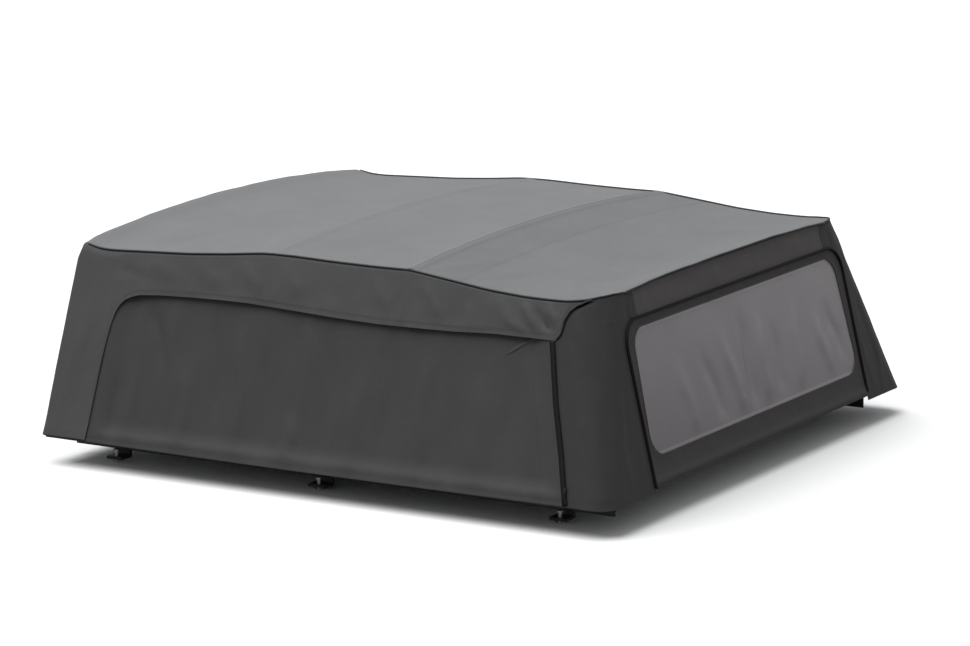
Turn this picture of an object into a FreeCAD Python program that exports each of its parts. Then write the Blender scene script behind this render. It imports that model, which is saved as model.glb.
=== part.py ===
import FreeCAD, Part
import math
import os

os.makedirs("parts", exist_ok=True)
V = FreeCAD.Vector

# Soft canopy for a pickup bed, in millimetres.
# X is right, Y is forward to the cab, Z is up. The origin is on the floor under
# the middle of the base, level with the lowest points of the clamp screws.

# Height of the rail plates above the floor
SEAT = 66.0

# Outer faces of the cloth
BASE_HALF = 768.0
SIDE_LEAN = 0.354
BASE_FRONT = 776.8
BASE_REAR = -778.0
FRONT_LEAN = 0.026
REAR_LEAN = 0.239
CLOTH = 1.6
LAYER = 0.3
SEW_GAP = 0.3

# Hoops: y and height of the tube's centre at the top corner, above the rail plates.
# foot_in is from the base's outer face to the foot, top_in from the cloth to the top corner.
TUBE = 11.0
BIG_ARC = 5200.0
FRONT_HOOP = {"y": 742.0, "h": 436.0, "foot_in": 62.0, "top_in": 20.0, "rise": 26.0, "bend": 62.0}
PIVOT_Y = -80.0
PIVOT_H = 62.0
HOOPS = [
    {"name": "middle_hoop_front", "foot_in": 86.0, "y": 218.0, "h": 456.0, "top_in": 21.0, "rise": 26.0, "bend": 62.0},
    {"name": "middle_hoop_rear", "foot_in": 116.0, "y": -160.0, "h": 452.0, "top_in": 21.0, "rise": 26.0, "bend": 62.0},
    {"name": "rear_hoop", "foot_in": 56.0, "y": -642.0, "h": 434.0, "top_in": 17.0, "rise": 9.0, "bend": 90.0},
]

# Feet of the hoops on the main pivot bolt
LUG_R = 15.0
LUG_HALF = 8.0
LUG_NECK = 44.0
BOLT_R = 5.0
BOLT_FIT = 0.05
EAR_T = 5.0
EAR_IN = BASE_HALF - 134.0
EAR_OUT = BASE_HALF - 44.0

# Rails
RAIL_IN = BASE_HALF - 132.0
RAIL_T = 4.0
LIP_H = 22.0
FLANGE_H = 40.0
SEAL_T = 5.0
SEAL_IN = RAIL_IN + 14.0
SEAL_OUT = BASE_HALF - 22.0
RAIL_FRONT = BASE_FRONT - 3.0
RAIL_REAR = BASE_REAR + 58.0

# Clamps under the side rails
CLAMP_Y = [-590.0, 60.0, 640.0]
CLAMP_W = 44.0
CLAMP_T = 7.0
JAW_H = -52.0
JAW_REACH = 36.0
SCREW_R = 5.0
HEAD_R = 9.0

# Rear drop frame: a straight header that turns in clips on the rear hoop
HEADER_H = 402.0
HEADER_R = 6.0
HEADER_HALF = 510.0
STRUT_BEND = 50.0
FOOT_X = BASE_HALF - 57.0
FOOT_Y = BASE_REAR + 32.0
FOOT_H = 16.0
CLIP_X = 400.0
CLIP_HALF = 7.0
SLEEVE_R = 7.6
SLEEVE_FIT = 0.08

# Rear curtain: it ends at a zip that runs up both sides and over the window
CURTAIN_LOW_HALF = 547.0
CURTAIN_TOP_HALF = 546.0
CURTAIN_TOP = 386.0
CURTAIN_R = 62.0
SPANDREL_LOW = 300.0
SPANDREL_IN = 9.0
CURTAIN_LOW = 6.0
TAB = 10.0
REAR_WINDOW = {"half_top": 514.0, "half_low": 528.0, "top": 364.0, "low": 78.0, "r": 50.0}
FRONT_WINDOW = {"half_top": 450.0, "half_low": 470.0, "top": 350.0, "low": 90.0, "r": 40.0}
TAIL_BAR_R = 8.0

# Round rear corners of the cloth, in plan
CORNER_LOW_R = 70.0
CORNER_TOP_R = 95.0
SHOULDER_H = 436.0

# Side cloth: y and height on the lean plane
VALANCE_LOW = 350.0
VALANCE_END = BASE_REAR + 222.0
STRIP_W = 124.0
ZIP_TOP = BASE_REAR + 217.0
ZIP_LOW = BASE_REAR + 116.0
SIDE_LOW = 6.0


def z(h):
    return SEAT + h


def side_x(h):
    return BASE_HALF - SIDE_LEAN * h


def cloth_inner(h):
    """Just inside the inner face of the side cloth."""
    depth = LAYER + CLOTH + CLOTH + SEW_GAP
    return side_x(h) - depth * math.hypot(1.0, SIDE_LEAN)


def rear_y(h):
    return BASE_REAR + REAR_LEAN * h


def header_y():
    """The header's sleeve lies just inside the cloth."""
    return rear_y(HEADER_H) + 2 * CLOTH + SLEEVE_R + 1.0


def hoop_foot(row):
    return BASE_HALF - row["foot_in"]


def hoop_top(row):
    return side_x(row["h"]) - row["top_in"]


def front_y(h):
    return BASE_FRONT - FRONT_LEAN * h


def unit(a, b):
    d = b.sub(a)
    d.normalize()
    return d


def bent_wire(points, radii):
    """Straight runs through the points, with an arc of the given radius at each inner point."""
    edges = []
    start = points[0]
    for i in range(1, len(points) - 1):
        u = unit(points[i], points[i - 1])
        w = unit(points[i], points[i + 1])
        half = math.acos(max(-1.0, min(1.0, u.dot(w)))) / 2.0
        cut = radii[i - 1] / math.tan(half)
        a = points[i].add(V(u).multiply(cut))
        b = points[i].add(V(w).multiply(cut))
        mid = V(u).add(w)
        mid.normalize()
        depth = radii[i - 1] / math.sin(half) - radii[i - 1]
        m = points[i].add(mid.multiply(depth))
        if start.distanceToPoint(a) > 0.01:
            edges.append(Part.LineSegment(start, a).toShape())
        edges.append(Part.Arc(a, m, b).toShape())
        start = b
    edges.append(Part.LineSegment(start, points[-1]).toShape())
    return Part.Wire(edges)


def tube(points, radii, radius):
    path = bent_wire(points, radii)
    ring = Part.Wire([Part.makeCircle(radius, points[0], unit(points[0], points[1]))])
    return path.makePipeShell([ring], True, False)


def block(x0, x1, y0, y1, h0, h1):
    return Part.makeBox(x1 - x0, y1 - y0, h1 - h0, V(x0, y0, z(h0)))


def rod(a, b, radius):
    return Part.makeCylinder(radius, a.distanceToPoint(b), a, unit(a, b))


def mirror(shape):
    return shape.mirror(V(0, 0, 0), V(1, 0, 0))


def prism(points, push):
    wire = Part.makePolygon(points + [points[0]])
    return Part.Face(wire).extrude(push)


def save(name, shape):
    shape.exportStep("parts/" + name + ".step")


def save_pair(name, shape):
    save(name + "_right", shape)
    save(name + "_left", mirror(shape))


def together(shapes):
    return Part.makeCompound(shapes)


# Base: rails, seals and clamps

def side_rail():
    """One section: flange down inside the bed, flat seat, and a lip that leans with the cloth."""
    outer = [(cloth_inner(0), 0), (cloth_inner(LIP_H), LIP_H)]
    inner = [(cloth_inner(LIP_H) - RAIL_T, LIP_H), (cloth_inner(RAIL_T) - RAIL_T, RAIL_T)]
    flange = [(RAIL_IN, RAIL_T), (RAIL_IN, -FLANGE_H), (RAIL_IN + RAIL_T, -FLANGE_H), (RAIL_IN + RAIL_T, 0)]
    section = [V(x, RAIL_REAR, z(h)) for x, h in outer + inner + flange]
    rail = prism(section, V(0, RAIL_FRONT - RAIL_REAR, 0))
    for y in CLAMP_Y:
        for side in (-12, 12):
            hole = rod(V(RAIL_IN - 2, y + side, z(-22)), V(RAIL_IN + 8, y + side, z(-22)), 3.2)
            rail = rail.cut(hole)
    return rail


def front_rail():
    reach = RAIL_IN - 0.3
    plate = block(-reach, reach, RAIL_FRONT - 46, RAIL_FRONT, 0, RAIL_T)
    lip = block(-reach, reach, RAIL_FRONT - RAIL_T, RAIL_FRONT, 0, LIP_H)
    return plate.fuse(lip).removeSplitter()


def side_seal():
    return block(SEAL_IN, SEAL_OUT, RAIL_REAR, RAIL_FRONT, -SEAL_T, 0)


def front_seal():
    reach = RAIL_IN - 0.3
    return block(-reach, reach, RAIL_FRONT - 34, RAIL_FRONT - 8, -SEAL_T, 0)


def clamp_bodies():
    pieces = []
    for y in CLAMP_Y:
        y0 = y - CLAMP_W / 2
        y1 = y + CLAMP_W / 2
        web = block(RAIL_IN - CLAMP_T, RAIL_IN, y0, y1, JAW_H - CLAMP_T, -4)
        jaw = block(RAIL_IN - CLAMP_T, RAIL_IN + JAW_REACH, y0, y1, JAW_H - CLAMP_T, JAW_H)
        body = web.fuse(jaw).removeSplitter()
        for side in (-12, 12):
            body = body.cut(rod(V(RAIL_IN - 20, y + side, z(-22)), V(RAIL_IN + 8, y + side, z(-22)), 3.2))
        grip_x = RAIL_IN + 24
        body = body.cut(rod(V(grip_x, y, z(JAW_H - 20)), V(grip_x, y, z(JAW_H + 8)), SCREW_R + 0.1))
        pieces.append(body)
    return together(pieces)


def clamp_screws():
    pieces = []
    grip_x = RAIL_IN + 24
    for y in CLAMP_Y:
        shank = rod(V(grip_x, y, z(-62)), V(grip_x, y, z(-40)), SCREW_R)
        head = Part.makeCylinder(HEAD_R, 4.0, V(grip_x, y, z(-66)))
        pad = Part.makeCylinder(HEAD_R, 4.0, V(grip_x, y, z(-40)))
        pieces.append(shank.fuse([head, pad]).removeSplitter())
    return together(pieces)


def flange_screws():
    pieces = []
    for y in CLAMP_Y:
        for side in (-12, 12):
            shank = rod(V(RAIL_IN - CLAMP_T, y + side, z(-22)), V(RAIL_IN + 8, y + side, z(-22)), 3.0)
            head = rod(V(RAIL_IN - CLAMP_T - 4, y + side, z(-22)), V(RAIL_IN - CLAMP_T, y + side, z(-22)), 6.0)
            nut = rod(V(RAIL_IN + RAIL_T, y + side, z(-22)), V(RAIL_IN + RAIL_T + 5, y + side, z(-22)), 6.0)
            pieces.append(shank.fuse([head, nut]).removeSplitter())
    return together(pieces)


# Front hoop, bolted down on a foot plate at each side

def front_hoop():
    f = FRONT_HOOP
    foot_x = hoop_foot(f)
    top_x = hoop_top(f)
    points = [
        V(foot_x, f["y"], z(RAIL_T + 5)),
        V(top_x, f["y"], z(f["h"])),
        V(0, f["y"], z(f["h"] + f["rise"] * 2)),
        V(-top_x, f["y"], z(f["h"])),
        V(-foot_x, f["y"], z(RAIL_T + 5)),
    ]
    return tube(points, [f["bend"], BIG_ARC, f["bend"]], TUBE)


def front_foot():
    f = FRONT_HOOP
    x = hoop_foot(f)
    base = block(x - 38, x + 38, f["y"] - 50, f["y"] + 16, RAIL_T, RAIL_T + 5)
    lean = math.degrees(math.atan((x - hoop_top(f)) / (f["h"] - RAIL_T - 5)))
    cup = Part.makeCylinder(TUBE + 4, 62, V(x, f["y"], z(RAIL_T + 1)))
    bore = Part.makeCylinder(TUBE + 0.1, 80, V(x, f["y"], z(RAIL_T + 5)))
    for item in (cup, bore):
        item.rotate(V(x, f["y"], z(RAIL_T + 5)), V(0, 1, 0), -lean)
    keep = block(x - 70, x + 70, f["y"] - 60, f["y"] + 30, RAIL_T, 90)
    return base.fuse(cup.common(keep)).cut(bore).removeSplitter()


def foot_screws():
    f = FRONT_HOOP
    pieces = []
    for side in (-26, 26):
        pieces.append(Part.makeCylinder(6.5, 4.5, V(hoop_foot(f) + side, f["y"] - 38, z(RAIL_T + 5))))
    return together(pieces)


# Main pivot bracket: three folding hoops turn on one bolt at each side

def pivot_bracket():
    base = block(EAR_IN + 4, EAR_OUT + 22, PIVOT_Y - 60, PIVOT_Y + 60, RAIL_T, RAIL_T + 4)
    ears = []
    for x in (EAR_IN, EAR_OUT):
        wall = block(x, x + EAR_T, PIVOT_Y - 30, PIVOT_Y + 30, RAIL_T, PIVOT_H)
        head = rod(V(x, PIVOT_Y, z(PIVOT_H)), V(x + EAR_T, PIVOT_Y, z(PIVOT_H)), 20.0)
        cut = wall.cut(block(x - 1, x + EAR_T + 1, PIVOT_Y - 40, PIVOT_Y - 20, 30, PIVOT_H + 1))
        cut = cut.cut(block(x - 1, x + EAR_T + 1, PIVOT_Y + 20, PIVOT_Y + 40, 30, PIVOT_H + 1))
        ears.append(cut.fuse(head))
    shape = base.fuse(ears)
    bore = rod(V(EAR_IN - 5, PIVOT_Y, z(PIVOT_H)), V(EAR_OUT + 20, PIVOT_Y, z(PIVOT_H)), BOLT_R + BOLT_FIT)
    return shape.cut(bore).removeSplitter()


def pivot_bolt():
    shank = rod(V(EAR_IN - 6, PIVOT_Y, z(PIVOT_H)), V(EAR_OUT + EAR_T + 4, PIVOT_Y, z(PIVOT_H)), BOLT_R)
    head = rod(V(EAR_IN - 6, PIVOT_Y, z(PIVOT_H)), V(EAR_IN, PIVOT_Y, z(PIVOT_H)), 8.5)
    nut = rod(V(EAR_OUT + EAR_T, PIVOT_Y, z(PIVOT_H)), V(EAR_OUT + EAR_T + 6, PIVOT_Y, z(PIVOT_H)), 8.5)
    return shank.fuse([head, nut]).removeSplitter()


def bracket_screws():
    pieces = []
    for y in (PIVOT_Y - 47, PIVOT_Y + 47):
        for x in (EAR_IN + 22, EAR_OUT - 8):
            pieces.append(Part.makeCylinder(6.5, 4.5, V(x, y, z(RAIL_T + 4))))
    return together(pieces)


def hoop_angle(row):
    return math.atan2(row["y"] - PIVOT_Y, row["h"] - PIVOT_H)


def hoop_length(row):
    return math.hypot(row["y"] - PIVOT_Y, row["h"] - PIVOT_H)


def on_hoop(row, x, r):
    a = hoop_angle(row)
    return V(x, PIVOT_Y + r * math.sin(a), z(PIVOT_H + r * math.cos(a)))


def folding_hoop(row):
    length = hoop_length(row)
    points = [
        on_hoop(row, hoop_foot(row), LUG_NECK - 6),
        on_hoop(row, hoop_top(row), length),
        on_hoop(row, 0, length + row["rise"] * 2),
        on_hoop(row, -hoop_top(row), length),
        on_hoop(row, -hoop_foot(row), LUG_NECK - 6),
    ]
    return tube(points, [row["bend"], BIG_ARC, row["bend"]], TUBE)


def hoop_feet(row):
    x = hoop_foot(row)
    centre = on_hoop(row, x, 0)
    eye = rod(V(x - LUG_HALF, centre.y, centre.z), V(x + LUG_HALF, centre.y, centre.z), LUG_R)
    a = hoop_angle(row)
    along = V(0, math.sin(a), math.cos(a))
    across = V(0, math.cos(a), -math.sin(a))
    corner = centre.sub(V(across).multiply(TUBE)).sub(V(LUG_HALF, 0, 0))
    neck = prism(
        [corner,
         corner.add(V(across).multiply(2 * TUBE)),
         corner.add(V(across).multiply(2 * TUBE)).add(V(along).multiply(LUG_NECK - 7)),
         corner.add(V(along).multiply(LUG_NECK - 7))],
        V(2 * LUG_HALF, 0, 0))
    foot = eye.fuse(neck)
    bore = rod(V(x - 20, centre.y, centre.z), V(x + 20, centre.y, centre.z), BOLT_R + BOLT_FIT)
    foot = foot.cut(bore).cut(folding_hoop(row)).removeSplitter()
    return together([foot, mirror(foot)])


# Rear drop frame and its saddles

def drop_frame():
    corner = V(HEADER_HALF + 20, header_y(), z(HEADER_H))
    foot = V(FOOT_X, FOOT_Y, z(FOOT_H))
    points = [foot, corner, V(-corner.x, corner.y, corner.z), V(-foot.x, foot.y, foot.z)]
    return tube(points, [STRUT_BEND, STRUT_BEND], HEADER_R)


def strut_feet():
    shoe = block(FOOT_X - 11, FOOT_X + 11, FOOT_Y - 10, FOOT_Y + 10, RAIL_T + 4.3, FOOT_H + 10)
    shoe = shoe.cut(drop_frame())
    return together([shoe, mirror(shoe)])


def saddle():
    back_y = FOOT_Y - 14
    base = block(FOOT_X - 18, FOOT_X + 18, back_y, RAIL_REAR + 60, RAIL_T, RAIL_T + 4)
    inner = block(FOOT_X - 18, FOOT_X - 14, back_y, FOOT_Y + 12, RAIL_T, 20)
    outer = block(FOOT_X + 14, FOOT_X + 18, back_y + 6, FOOT_Y + 12, RAIL_T, 20)
    back = block(FOOT_X - 18, FOOT_X + 14, back_y, back_y + 3.5, RAIL_T, 20)
    return base.fuse([inner, outer, back]).removeSplitter()


def header_clips():
    row = HOOPS[2]
    length = hoop_length(row)
    share = CLIP_X / hoop_top(row)
    r = length + row["rise"] * 2 * (1 - share)
    pieces = []
    for x in (-CLIP_X, CLIP_X):
        top = on_hoop(row, x, r)
        low = V(x, header_y(), z(HEADER_H))
        ring_top = rod(V(x - CLIP_HALF, top.y, top.z), V(x + CLIP_HALF, top.y, top.z), TUBE + 2.5)
        ring_low = rod(V(x - CLIP_HALF, low.y, low.z), V(x + CLIP_HALF, low.y, low.z), HEADER_R + 3)
        u = unit(V(0, top.y, top.z), V(0, low.y, low.z))
        n = V(0, -u.z, u.y).multiply(5.0)
        s = V(x - CLIP_HALF, top.y, top.z)
        e = V(x - CLIP_HALF, low.y, low.z)
        web = prism([s.add(n), e.add(n), e.sub(n), s.sub(n)], V(2 * CLIP_HALF, 0, 0))
        hole = rod(V(x - 20, low.y, low.z), V(x + 20, low.y, low.z), HEADER_R + SLEEVE_FIT)
        pieces.append(ring_top.fuse([ring_low, web]).cut(hole))
    hoop = folding_hoop(row)
    return together([piece.cut(hoop).removeSplitter() for piece in pieces])


# Rear curtain

def slab_on_rear(half_low, half_top, low, top, out, thick):
    """A flat sheet on the rear lean plane. out is how far its outer face lies inside that plane."""
    a = V(0, rear_y(low) + out, z(low))
    b = V(0, rear_y(top) + out, z(top))
    points = [V(-half_low, a.y, a.z), V(half_low, a.y, a.z), V(half_top, b.y, b.z), V(-half_top, b.y, b.z)]
    return prism(points, V(0, thick, 0))


def window_prism(w, grow):
    """Rounded window outline, pushed along Y through the rear."""
    ht = w["half_top"] + grow
    hl = w["half_low"] + grow
    top = w["top"] + grow
    low = w["low"] - grow
    y = 1.2 * BASE_REAR
    outline = [V(0, y, z(low)), V(hl, y, z(low)), V(ht, y, z(top)), V(-ht, y, z(top)), V(-hl, y, z(low)), V(0, y, z(low))]
    return Part.Face(bent_wire(outline, [w["r"]] * 4)).extrude(V(0, 0.6 * abs(y), 0))


def curtain_half(h):
    share = (h - SIDE_LOW) / (CURTAIN_TOP - SIDE_LOW)
    return CURTAIN_LOW_HALF + (CURTAIN_TOP_HALF - CURTAIN_LOW_HALF) * share


def zip_prism(grow):
    """Everything inside the zip that runs up both sides of the curtain and over its top."""
    y = 1.2 * BASE_REAR
    low = z(CURTAIN_LOW) - 1
    top = z(CURTAIN_TOP + grow)
    hl = curtain_half(CURTAIN_LOW) + grow
    ht = curtain_half(CURTAIN_TOP) + grow
    outline = [V(0, y, low), V(hl, y, low), V(ht, y, top), V(-ht, y, top), V(-hl, y, low), V(0, y, low)]
    radii = [0.5, CURTAIN_R, CURTAIN_R, 0.5]
    return Part.Face(bent_wire(outline, radii)).extrude(V(0, 0.6 * abs(y), 0))


def curtain_panel():
    sheet = slab_on_rear(curtain_half(CURTAIN_LOW), curtain_half(CURTAIN_TOP), CURTAIN_LOW, CURTAIN_TOP, 0, CLOTH)
    sheet = sheet.common(zip_prism(-SEW_GAP))
    reach = HEADER_HALF - 34
    tab = slab_on_rear(reach, reach, CURTAIN_TOP - TAB, HEADER_H + 4, CLOTH, CLOTH)
    sleeve = rod(V(-reach, header_y(), z(HEADER_H)), V(reach, header_y(), z(HEADER_H)), SLEEVE_R)
    fill = block(-reach, reach, rear_y(HEADER_H) + CLOTH + 1, header_y(), HEADER_H - 3, HEADER_H + 3)
    panel = sheet.fuse([tab, sleeve, fill])
    panel = panel.cut(rod(V(-BASE_HALF, header_y(), z(HEADER_H)), V(BASE_HALF, header_y(), z(HEADER_H)), HEADER_R + SLEEVE_FIT))
    for x in (-CLIP_X, CLIP_X):
        deep = rear_y(HEADER_H) + CLOTH - 2
        panel = panel.cut(block(x - CLIP_HALF - 5, x + CLIP_HALF + 5, deep, deep + 60, CURTAIN_TOP - 1, HEADER_H + 30))
    return panel.cut(window_prism(REAR_WINDOW, 0)).removeSplitter()


def rear_window():
    sheet = slab_on_rear(curtain_half(0), curtain_half(CURTAIN_TOP), 0, CURTAIN_TOP, 0.3, 1.0)
    return sheet.common(window_prism(REAR_WINDOW, -SEW_GAP))


def tail_bar():
    h = CURTAIN_LOW + 2.2 * TAIL_BAR_R
    y = rear_y(h) + (CLOTH + TAIL_BAR_R + 0.3) * math.hypot(1.0, REAR_LEAN)
    reach = CURTAIN_LOW_HALF - 6
    return rod(V(-reach, y, z(h)), V(reach, y, z(h)), TAIL_BAR_R)


# Cloth on the sides: planar sheets that lie on the lean plane

SIDE_PUSH = V(-1, 0, -SIDE_LEAN).normalize()


def side_sheet(outline, depth, thick):
    """outline holds (y, h) pairs. depth is how far the outer face lies inside the lean plane."""
    shift = V(SIDE_PUSH).multiply(depth)
    points = [V(side_x(h), y, z(h)).add(shift) for y, h in outline]
    return prism(points, V(SIDE_PUSH).multiply(thick))


def valance():
    low = VALANCE_LOW
    strip = BASE_FRONT - STRIP_W
    outline = [(BASE_FRONT - 20, deck_h(0))]
    outline += [(row["y"], deck_h(i + 1)) for i, row in enumerate(HOOPS[:2])]
    outline += [
        (VALANCE_END - 21, SHOULDER_H + 2), (VALANCE_END - 16, low + 50), (VALANCE_END - 10, low + 14), (VALANCE_END + 4, low),
        (strip - 90, low), (strip - 60, low - 6), (strip - 38, low - 22), (strip - 20, low - 48), (strip - 8, low - 90),
        (strip, low - 180), (strip, SIDE_LOW),
        (front_y(SIDE_LOW) - CLOTH - SEW_GAP, SIDE_LOW),
    ]
    return side_sheet(outline, 0, CLOTH)


def side_panel():
    outline = [(front_y(SIDE_LOW) - CLOTH - SEW_GAP, SIDE_LOW), (front_y(440) - CLOTH - SEW_GAP, 440)]
    outline += [(row["y"], deck_h(i + 1) - 20) for i, row in enumerate(HOOPS[:2])]
    outline += [(VALANCE_END + 20, SHOULDER_H - 8), (ZIP_TOP, VALANCE_LOW - 8), (ZIP_LOW, SIDE_LOW)]
    return side_sheet(outline, LAYER + CLOTH, CLOTH)


def corner_r(h):
    return CORNER_LOW_R + (CORNER_TOP_R - CORNER_LOW_R) * (h - SIDE_LOW) / (SHOULDER_H - SIDE_LOW)


def corner_section(h, zip_y, half):
    """Plan outline at one height: side face, round corner and rear face up to the curtain's zip."""
    faces = []
    for inset in (0.0, CLOTH):
        x = side_x(h) - inset
        y = rear_y(h) + inset
        r = corner_r(h) - inset
        k = r * (1 - math.sqrt(0.5))
        faces.append([V(x, zip_y, z(h)), V(x, y + r, z(h)), V(x - k, y + k, z(h)), V(x - r, y, z(h)), V(half, y, z(h))])
    a, b, m, c, d = faces[0]
    e, f, n, g, i = faces[1]
    edges = [
        Part.LineSegment(a, b).toShape(), Part.Arc(b, m, c).toShape(), Part.LineSegment(c, d).toShape(),
        Part.LineSegment(d, i).toShape(), Part.LineSegment(i, g).toShape(), Part.Arc(g, n, f).toShape(),
        Part.LineSegment(f, e).toShape(), Part.LineSegment(e, a).toShape(),
    ]
    return Part.Wire(edges)


def rear_corner():
    """Corner cloth from the side zip round to the curtain's zip, with a shoulder up to the roof seam."""
    seam = VALANCE_LOW - 4
    half = curtain_half(SIDE_LOW) + SPANDREL_IN + SEW_GAP
    low = corner_section(SIDE_LOW, ZIP_LOW - 1, half)
    middle = corner_section(seam, ZIP_TOP - 1, half)
    shoulder = corner_section(seam, VALANCE_END - 14, half)
    top = corner_section(SHOULDER_H, rear_y(SHOULDER_H) + CORNER_TOP_R + 1, half)
    panel = Part.makeLoft([low, middle], True, True).fuse(Part.makeLoft([shoulder, top], True, True))
    return panel.fuse(rear_edge_strip()).removeSplitter()


def rear_edge_strip():
    """Narrow hem beside the curtain's zip, below the band over its head."""
    a = curtain_half(SIDE_LOW) + SEW_GAP
    b = a + SPANDREL_IN
    points = []
    for x, h in [(a, SIDE_LOW), (b, SIDE_LOW), (b, SPANDREL_LOW - SEW_GAP), (a, SPANDREL_LOW - SEW_GAP)]:
        points.append(V(x, rear_y(h), z(h)))
    return prism(points, V(0, CLOTH, 0))


# Deck cloth: three bays between the hoops, each with a low crown

DECK = [
    {"y": BASE_FRONT - 20, "lift": 18.0, "crown": 30.0},
    {"y": HOOPS[0]["y"], "lift": 14.0, "crown": 30.0},
    {"y": HOOPS[1]["y"], "lift": 15.5, "crown": 30.0},
    {"y": rear_y(SHOULDER_H), "lift": 10.0, "crown": 13.0},
]


def deck_h(i):
    row = FRONT_HOOP if i == 0 else HOOPS[i - 1]
    return row["h"] + DECK[i]["lift"]


def deck_section(i, shift):
    h = deck_h(i)
    half = side_x(h) - 3.5
    y = DECK[i]["y"] + shift
    faces = []
    for drop in (0.0, CLOTH):
        faces.append([V(-half, y, z(h - drop)), V(0, y, z(h + DECK[i]["crown"] - drop)), V(half, y, z(h - drop))])
    a, b, c = faces[0]
    d, e, f = faces[1]
    edges = [
        Part.Arc(a, b, c).toShape(), Part.LineSegment(c, f).toShape(),
        Part.Arc(f, e, d).toShape(), Part.LineSegment(d, a).toShape(),
    ]
    return Part.Wire(edges)


def deck_bay(i):
    gap = SEW_GAP / 2
    return Part.makeLoft([deck_section(i, -gap), deck_section(i + 1, gap)], True, True)


def deck_rear():
    """The last bay has the round rear corners of the cloth below it."""
    half = side_x(deck_h(3)) - 3.5
    front = DECK[2]["y"] + 10
    rear = DECK[3]["y"]
    outline = [V(0, front, z(300)), V(half + 20, front, z(300)), V(half, rear, z(300)), V(-half, rear, z(300)),
               V(-half - 20, front, z(300)), V(0, front, z(300))]
    plan = Part.Face(bent_wire(outline, [1.0, CORNER_TOP_R, CORNER_TOP_R, 1.0]))
    return deck_bay(2).common(plan.extrude(V(0, 0, 400)))


def front_curtain():
    """Cloth across the cab end, from the front rail up to the front hoop, with a window opening."""
    edge = deck_h(0)
    top = hoop_top(FRONT_HOOP)
    half = [(cloth_inner(SIDE_LOW), SIDE_LOW), (cloth_inner(edge - 24), edge - 24), (top, edge - 5)]
    half += [(0.75 * top, edge + 8), (0.5 * top, edge + 17), (0.25 * top, edge + 23)]
    outline = half + [(0, edge + 25)] + [(-x, h) for x, h in reversed(half)]
    points = [V(x, front_y(h), z(h)) for x, h in outline]
    sheet = prism(points, V(0, -CLOTH, 0))
    return sheet.cut(front_window_prism(0))


def front_window_prism(grow):
    w = FRONT_WINDOW
    y = 0.9 * BASE_FRONT
    low = z(w["low"] - grow)
    top = z(w["top"] + grow)
    hl = w["half_low"] + grow
    ht = w["half_top"] + grow
    outline = [V(0, y, low), V(hl, y, low), V(ht, y, top), V(-ht, y, top), V(-hl, y, low), V(0, y, low)]
    return Part.Face(bent_wire(outline, [w["r"]] * 4)).extrude(V(0, 0.3 * BASE_FRONT, 0))


def front_window():
    w = FRONT_WINDOW
    half = w["half_low"] + 20
    corners = [(-half, w["low"] - 20), (half, w["low"] - 20), (half, w["top"] + 20), (-half, w["top"] + 20)]
    points = [V(x, front_y(h) - 0.3, z(h)) for x, h in corners]
    return prism(points, V(0, -1.0, 0)).common(front_window_prism(-SEW_GAP))


def rear_band():
    """Strip of deck cloth turned down behind the rear hoop, over the head of the rear curtain."""
    half = curtain_half(SIDE_LOW) + SPANDREL_IN
    band = slab_on_rear(half, half, SPANDREL_LOW, SHOULDER_H + 6, 0, CLOTH - SEW_GAP)
    return band.cut(zip_prism(0))


save_pair("side_rail", side_rail())
save("front_rail", front_rail())
save_pair("side_seal", side_seal())
save("front_seal", front_seal())
save_pair("clamps", clamp_bodies())
save_pair("clamp_screws", clamp_screws())
save_pair("flange_screws", flange_screws())
save("front_hoop", front_hoop())
save_pair("front_foot", front_foot())
save_pair("foot_screws", foot_screws())
save_pair("pivot_bracket", pivot_bracket())
save_pair("pivot_bolt", pivot_bolt())
save_pair("bracket_screws", bracket_screws())
for hoop in HOOPS:
    save(hoop["name"], folding_hoop(hoop))
    save(hoop["name"] + "_feet", hoop_feet(hoop))
save("drop_frame", drop_frame())
save("strut_feet", strut_feet())
save_pair("saddle", saddle())
save("header_clips", header_clips())
save("rear_curtain", curtain_panel())
save("rear_window", rear_window())
save("tail_bar", tail_bar())
save_pair("valance", valance())
save_pair("side_panel", side_panel())
save_pair("rear_corner", rear_corner())
save("deck_front", deck_bay(0))
save("deck_middle", deck_bay(1))
save("deck_rear", deck_rear())
save("front_curtain", front_curtain())
save("front_window", front_window())
save("rear_band", rear_band())
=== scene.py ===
import math
import bpy
import numpy as np
from mathutils import Matrix, Vector


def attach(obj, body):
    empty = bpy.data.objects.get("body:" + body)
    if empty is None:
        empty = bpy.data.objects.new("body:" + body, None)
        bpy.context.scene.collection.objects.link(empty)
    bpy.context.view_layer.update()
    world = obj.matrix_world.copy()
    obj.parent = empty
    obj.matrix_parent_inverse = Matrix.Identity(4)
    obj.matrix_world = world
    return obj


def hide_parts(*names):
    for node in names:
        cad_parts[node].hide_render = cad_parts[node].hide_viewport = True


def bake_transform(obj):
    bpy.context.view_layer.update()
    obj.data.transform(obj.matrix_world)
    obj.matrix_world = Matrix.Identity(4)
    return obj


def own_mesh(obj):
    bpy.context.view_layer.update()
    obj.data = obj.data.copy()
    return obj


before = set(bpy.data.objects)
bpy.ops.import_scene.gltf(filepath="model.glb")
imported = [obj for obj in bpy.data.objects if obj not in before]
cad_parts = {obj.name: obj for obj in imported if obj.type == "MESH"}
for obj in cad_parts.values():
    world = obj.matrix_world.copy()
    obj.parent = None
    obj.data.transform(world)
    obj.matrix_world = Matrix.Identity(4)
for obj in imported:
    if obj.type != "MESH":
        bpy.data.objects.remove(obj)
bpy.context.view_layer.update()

# Camera, floor and light.
# The camera stands where the photograph was taken, turned to the middle of the canopy.
# The floor is pale matt paper, and the light is a wide soft sun with an even sky.

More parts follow.
